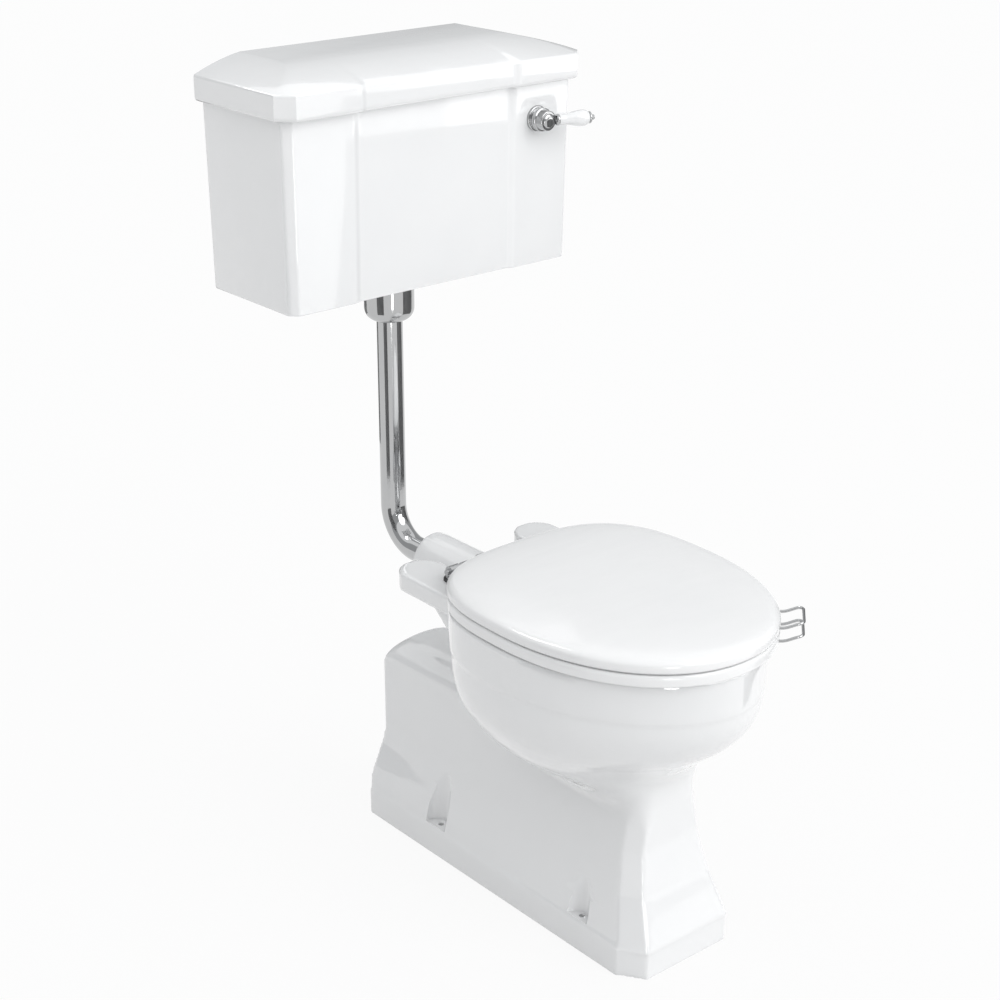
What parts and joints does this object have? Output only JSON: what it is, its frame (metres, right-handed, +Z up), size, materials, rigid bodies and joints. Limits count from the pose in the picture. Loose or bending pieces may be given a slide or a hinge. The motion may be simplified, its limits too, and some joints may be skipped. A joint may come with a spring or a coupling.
{
  "type": "toilet",
  "caption": "Low level toilet: china pan with seat and lid, floor outlet trap, wall cistern with siphon, side lever and float valve, joined by a bent chrome flush pipe.",
  "frame": {"origin": "centre of the soil outlet at floor level", "axes": "+Z up from the floor, +Y back to the wall, +X to the right of a person who faces the toilet"},
  "size_m": [0.52, 0.799, 1.154],
  "materials": {
    "china": "glossy white glaze",
    "chrome": "polished",
    "seat_white": "glossy white",
    "white_plastic": "moulded",
    "brass": "turned",
    "rubber": "moulded"
  },
  "bodies": {
    "base": {"pan": "china", "flush_pipe": "chrome", "flush_cone": "rubber", "pipe_nut": "chrome", "pipe_olive": "rubber", "cistern": "china", "tail_washer": "rubber", "tail_backnut": "white_plastic", "siphon": "white_plastic", "lever_bush": "chrome", "lever_washer": "rubber", "lever_backnut": "white_plastic", "valve_body": "brass", "valve_washer": "rubber", "valve_backnut": "brass", "hinge_rods": "chrome", "hinge_posts": "chrome", "post_washers": "rubber", "post_nuts": "white_plastic"},
    "cistern_cover": {"cistern_lid": "china"},
    "lift": {"siphon_plate": "white_plastic", "siphon_lift": "brass", "lift_link": "brass"},
    "lever": {"lever_spindle": "chrome", "lever_arm": "brass", "lever_handle": "chrome", "lever_grip": "china", "lever_finial": "chrome"},
    "plunger": {"valve_plunger": "white_plastic"},
    "float_lever": {"float_arm": "white_plastic", "float": "white_plastic"},
    "seat": {"seat_ring": "seat_white", "seat_lugs": "chrome", "seat_buffers": "rubber", "seat_handle": "chrome"},
    "lid": {"seat_lid": "seat_white", "lid_lugs": "chrome", "lid_buffers": "rubber", "lid_handle": "chrome"}
  },
  "joints": [
    {"name": "flush_lever", "type": "hinge", "parent": "base", "child": "lever", "pos_m": [0.178, -0.0147, 1.046], "axis": [0, 1, 0], "range_deg": [0, 25]},
    {"name": "siphon_rise", "type": "slide", "parent": "base", "child": "lift", "axis": [0, 0, 1], "range_m": [0, 0.043]},
    {"name": "float_swing", "type": "hinge", "parent": "base", "child": "float_lever", "pos_m": [-0.178, 0.115, 1.038], "axis": [0, 1, 0], "range_deg": [0, 35]},
    {"name": "plunger_rise", "type": "slide", "parent": "base", "child": "plunger", "axis": [0, 0, 1], "range_m": [0, 0.0059]},
    {"name": "seat_hinge", "type": "hinge", "parent": "base", "child": "seat", "pos_m": [0, -0.148, 0.479], "axis": [-1, 0, 0], "range_deg": [0, 100]},
    {"name": "lid_hinge", "type": "hinge", "parent": "seat", "child": "lid", "pos_m": [0, -0.148, 0.479], "axis": [1, 0, 0], "range_deg": [-100, 0]},
    {"name": "cover_lift", "type": "slide", "parent": "base", "child": "cistern_cover", "axis": [0, 0, 1], "range_m": [0, 0.12]}
  ],
  "couplings": [
    {"joint": "siphon_rise", "follows": "flush_lever", "m_per_rad": 0.0975},
    {"joint": "plunger_rise", "follows": "float_swing", "m_per_rad": 0.0095}
  ]
}
